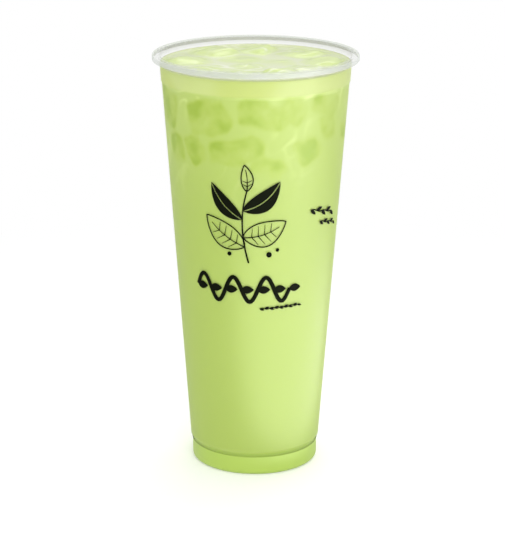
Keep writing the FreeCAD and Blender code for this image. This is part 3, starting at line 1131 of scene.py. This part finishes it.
# Vines: name, start, end, swing, waves, leaf length, leaf width and stem, in millimetres.
VINES = [
    ("print_vine", (-27.2, 88.4), (15.4, 88.4), 5.6, 3, 5.4, 3.5, 1.8),
    ("print_tendril", (2.0, 79.6), (19.4, 80.2), 0.35, 4, 2.2, 1.0, 0.4),
    ("print_side_vine", (25.8, 122.4), (39.5, 119.6), 0.3, 2, 3.7, 1.6, 0.5),
    ("print_side_twig", (31.6, 116.2), (42.5, 114.0), 0.3, 2, 3.0, 1.3, 0.45),
]


def from_millimetres(points):
    """Flat points, given in millimetres, in the scene's own units."""
    return [(p.x * MM, p.y * MM, 0.0) for p in points]


class MILKTEA_OT_print(bpy.types.Operator):
    """Print the leaf decoration on the cup's wall"""

    bl_idname = "milk_tea.print"
    bl_label = "Build print"

    def execute(self, context):
        cup = context.scene.milk_tea_cup
        settings = context.scene.milk_tea_print
        material = screen_ink(settings)
        sprig = sprig_art()
        pieces = [new_object("print_sprig", from_millimetres(sprig.points), (), sprig.faces)]
        vines = vine_tree()
        for name, start, end, swing, waves, long, wide, stem in VINES:
            line = from_millimetres(wave(start, end, swing, waves))
            reach = math.dist(start, end)
            lean = max(math.atan(math.tau * waves * swing / reach), 0.75) * settings.lean
            values = {
                "Leaves": 2 * waves + 1,
                "Leaf length": long * MM,
                "Leaf width": wide * MM,
                "Lean": lean,
                "Stem": stem * MM,
                "Material": material,
            }
            pieces.append(new_chain(name, line))
            grow(pieces[-1], vines, values)
        radius, height, slope = wall_slope(cup)
        tree = wrap_tree()
        for piece in pieces:
            heights = [vertex.co.y for vertex in piece.data.vertices]
            values = {
                "Wall radius": radius,
                "Wall height": height,
                "Slope": slope,
                "Art height": (min(heights) + max(heights)) / 2,
                "Proud": settings.proud,
                "Depth": settings.depth,
                "Material": material,
            }
            grow(piece, tree, values)
            keep(piece, "print_ink")
        return {"FINISHED"}


# The stage


# Lamps that face the cup: name, width and height, watts, azimuth from the front and elevation in
# degrees, distance, and whether matt surfaces are lit by it or only gloss shows it.
LAMPS = [
    ("key", (0.7, 0.9), 7.2, 10, 34, 1.6, True),
    ("top", (0.8, 0.8), 5.0, 160, 70, 1.4, True),
    ("glint", (0.12, 0.07), 0.15, 56, -5.2, 0.35, False),
    ("behind", (0.4, 0.16), 0.3, 178, 34, 1.2, False),
]


def add_lamp(name, size, watts, lights_matt):
    """A soft rectangular lamp that the camera doesn't see."""
    data = bpy.data.lights.new(name, "AREA")
    data.shape = "RECTANGLE"
    data.size, data.size_y = size
    data.energy = watts
    lamp = bpy.data.objects.new(name, data)
    bpy.context.scene.collection.objects.link(lamp)
    lamp.visible_camera = False
    lamp.visible_diffuse = lights_matt
    return lamp


def add_lamps():
    """The lamps round the cup, and a bright board on the right that its wall mirrors as a sheen."""
    aim = Vector((0.0, 0.0, CUP_HIGH.z * 0.55))  # a little above the middle of the cup
    for name, size, watts, azimuth, elevation, distance, lights_matt in LAMPS:
        lamp = add_lamp(name, size, watts, lights_matt)
        azimuth, elevation = math.radians(azimuth), math.radians(elevation)
        level = math.cos(elevation)
        outwards = Vector(
            (math.sin(azimuth) * level, -math.cos(azimuth) * level, math.sin(elevation))
        )
        lamp.location = aim + outwards * distance
        lamp.rotation_euler = outwards.to_track_quat("Z", "Y").to_euler()
    board = add_lamp("board", (0.5, 0.68), 4.6, False)
    angle, distance = math.radians(49), 0.385
    board.location = (math.sin(angle) * distance, -math.cos(angle) * distance, 3 * MM)
    board.rotation_euler = (math.pi, 0.0, angle)


def seen_directly(add):
    """1 for a ray that shows the background: straight, mirrored or through glass."""
    path = add("ShaderNodeLightPath").outputs
    seen = add(
        "ShaderNodeMath", {0: path["Is Camera Ray"], 1: path["Is Glossy Ray"]}, operation="ADD"
    )
    either = add("ShaderNodeMath", {0: seen, 1: path["Is Transmission Ray"]}, operation="ADD")
    return add("ShaderNodeMath", {0: either, 1: 1.0}, operation="MINIMUM")


def floor_paper(stage):
    """Matt paper sweep: nearly white to the eye, with the cup's shadow on it."""
    material, add = new_material("paper sweep, matt")
    seen = seen_directly(add)
    matt = add("ShaderNodeBsdfDiffuse", {"Color": stage.floor})
    # Seen, the paper is a little brighter than its light makes it, and far off it is plain white.
    brighter = add("ShaderNodeMath", {0: seen, 1: 0.2}, operation="MULTIPLY")
    glow = add("ShaderNodeEmission", {"Color": WHITE, "Strength": brighter})
    near = add("ShaderNodeAddShader", {0: matt, 1: glow})
    far = add("ShaderNodeEmission", {"Color": WHITE, "Strength": 1.0})
    place = add("ShaderNodeTexCoord").outputs["Object"]
    away = add("ShaderNodeVectorMath", {0: place}, operation="LENGTH")
    fade = add(
        "ShaderNodeMapRange",
        {"Value": away, "From Min": 80 * MM, "From Max": 400 * MM},
        interpolation_type="SMOOTHSTEP",
    )
    share_far = add("ShaderNodeMath", {0: fade, 1: seen}, operation="MULTIPLY")
    both = add("ShaderNodeMixShader", {0: share_far, 1: near, 2: far})
    add("ShaderNodeOutputMaterial", {"Surface": both})
    return material


def studio_world(strength):
    """White room: an even soft light, and white where it is seen."""
    world = bpy.data.worlds.new("studio")
    bpy.context.scene.world = world
    world.use_nodes = True
    world.node_tree.nodes.clear()
    add = partial(add_node, world.node_tree)
    path = add("ShaderNodeLightPath").outputs
    straight = {0: path["Is Camera Ray"], 1: path["Is Transmission Ray"]}
    seen = add("ShaderNodeMath", straight, operation="MAXIMUM")
    level = add("ShaderNodeMapRange", {"Value": seen, "To Min": strength, "To Max": 1.0})
    white = add("ShaderNodeBackground", {"Color": WHITE, "Strength": level})
    add("ShaderNodeOutputWorld", {"Surface": white})


def add_camera(stage):
    """The camera, in front of the print and looking down at the cup."""
    data = bpy.data.cameras.new("camera")
    data.lens = stage.lens
    data.sensor_width = 36.0
    camera = bpy.data.objects.new("camera", data)
    bpy.context.scene.collection.objects.link(camera)
    camera.matrix_world = (
        Matrix.Translation((0.0, -stage.distance, stage.height))
        @ Matrix.Rotation(stage.yaw, 4, "Z")
        @ Matrix.Rotation(math.pi / 2 - stage.pitch, 4, "X")
        @ Matrix.Rotation(stage.roll, 4, "Z")
    )
    bpy.context.scene.camera = camera


class MILKTEA_OT_stage(bpy.types.Operator):
    """Set up the floor, the soft light and the camera"""

    bl_idname = "milk_tea.stage"
    bl_label = "Build stage"

    def execute(self, context):
        stage = context.scene.milk_tea_stage
        half = 4.0
        corners = [(-half, -half, 0), (half, -half, 0), (half, half, 0), (-half, half, 0)]
        floor = new_object("floor", corners, (), [(0, 1, 2, 3)])
        floor.data.materials.append(floor_paper(stage))
        floor.visible_glossy = False
        studio_world(0.8)
        add_lamps()
        add_camera(stage)
        context.scene.view_settings.view_transform = "Standard"
        return {"FINISHED"}


class MILKTEA_PT_panel(bpy.types.Panel):
    """The pieces of the drink and its stage"""

    bl_idname = "MILKTEA_PT_panel"
    bl_label = "Cup of milk tea"
    bl_space_type = "VIEW_3D"
    bl_region_type = "UI"
    bl_category = "Milk tea"

    def draw(self, context):
        for operator in OPERATORS:
            self.layout.operator(operator.bl_idname)
        for name, group in SETTINGS.items():
            box = self.layout.box()
            for entry in group.__annotations__:
                box.prop(getattr(context.scene, name), entry)


OPERATORS = (MILKTEA_OT_stage, MILKTEA_OT_cup, MILKTEA_OT_ice, MILKTEA_OT_drink, MILKTEA_OT_print)


def register():
    for group in SETTINGS.values():
        bpy.utils.register_class(group)
    for thing in (*OPERATORS, MILKTEA_PT_panel):
        bpy.utils.register_class(thing)
    for name, group in SETTINGS.items():
        setattr(bpy.types.Scene, name, PointerProperty(type=group))


def unregister():
    for name in SETTINGS:
        delattr(bpy.types.Scene, name)
    for thing in (MILKTEA_PT_panel, *reversed(OPERATORS)):
        bpy.utils.unregister_class(thing)
    for group in SETTINGS.values():
        bpy.utils.unregister_class(group)


def main():
    register()
    bpy.ops.milk_tea.stage()
    bpy.ops.milk_tea.cup()
    bpy.ops.milk_tea.ice()
    bpy.ops.milk_tea.drink()
    bpy.ops.milk_tea.print()


if __name__ == "__main__":
    main()
